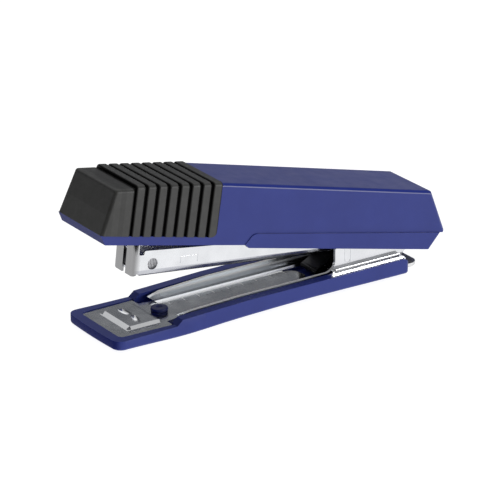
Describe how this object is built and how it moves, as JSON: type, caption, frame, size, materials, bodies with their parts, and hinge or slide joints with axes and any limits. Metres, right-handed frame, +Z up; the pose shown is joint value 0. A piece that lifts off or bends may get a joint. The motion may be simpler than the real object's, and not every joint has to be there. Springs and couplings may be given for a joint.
{
  "type": "desk stapler",
  "caption": "Manual desk stapler with a ribbed front grip, blue cover and shoe, steel base channel with clinching anvil, spring-loaded magazine and rear remover tongue.",
  "frame": {"origin": "middle of the shoe's flat sole, on the surface the stapler stands on", "axes": "+X to the rear along the length, away from the nose; +Y across; +Z up, away from the table"},
  "size_m": [0.1188, 0.0272, 0.0475],
  "materials": {
    "shoe_plastic": "satin injection-moulded ABS, deep blue",
    "cover_plastic": "satin injection-moulded ABS, deep blue",
    "grip_rubber": "matt soft-touch moulding, near black",
    "plate_steel": "nickel-plated pressed sheet, satin",
    "bright_steel": "bright chrome plate",
    "spring_steel": "blackened spring steel",
    "frame_steel": "zinc-plated pressed sheet",
    "staple_wire": "galvanised wire, glued strip"
  },
  "bodies": {
    "base": {"base_shoe": "shoe_plastic", "base_plate": "plate_steel", "anvil_plate": "plate_steel", "shoe_stud": "shoe_plastic", "staple_remover": "plate_steel", "base_rivets": "frame_steel", "lift_spring": "spring_steel", "pivot_pin": "frame_steel", "pivot_spacers": "frame_steel"},
    "magazine": {"magazine_channel": "bright_steel", "staple_rail": "frame_steel", "staple_strip": "staple_wire", "guide_rod": "spring_steel", "rod_bracket": "frame_steel", "bracket_rivets": "frame_steel", "pusher_spring": "spring_steel"},
    "pusher": {"pusher": "bright_steel"},
    "handle": {"handle_cover": "cover_plastic", "cover_skirt": "cover_plastic", "grip_cap": "grip_rubber", "handle_frame": "frame_steel", "driver_blade": "spring_steel", "frame_rivets": "frame_steel", "return_leaf": "spring_steel"}
  },
  "joints": [
    {"name": "magazine_hinge", "type": "hinge", "parent": "base", "child": "magazine", "pos_m": [0.0486, 0, 0.01191], "axis": [0, -1, 0], "range_deg": [0, 8.5], "stiffness_Nm_per_rad": 0.35, "springref_deg": -17.19, "deforming": ["lift_spring"]},
    {"name": "handle_hinge", "type": "hinge", "parent": "magazine", "child": "handle", "pos_m": [0.0486, 0, 0.01191], "axis": [0, -1, 0], "range_deg": [-19, 5.5], "stiffness_Nm_per_rad": 1.2, "springref_deg": -0.69, "deforming": ["return_leaf"]},
    {"name": "pusher_slide", "type": "slide", "parent": "magazine", "child": "pusher", "axis": [0.9934, 0, -0.1149], "range_m": [0, 0.03], "stiffness_N_per_m": 25, "springref_m": -0.02, "deforming": ["pusher_spring"]}
  ]
}
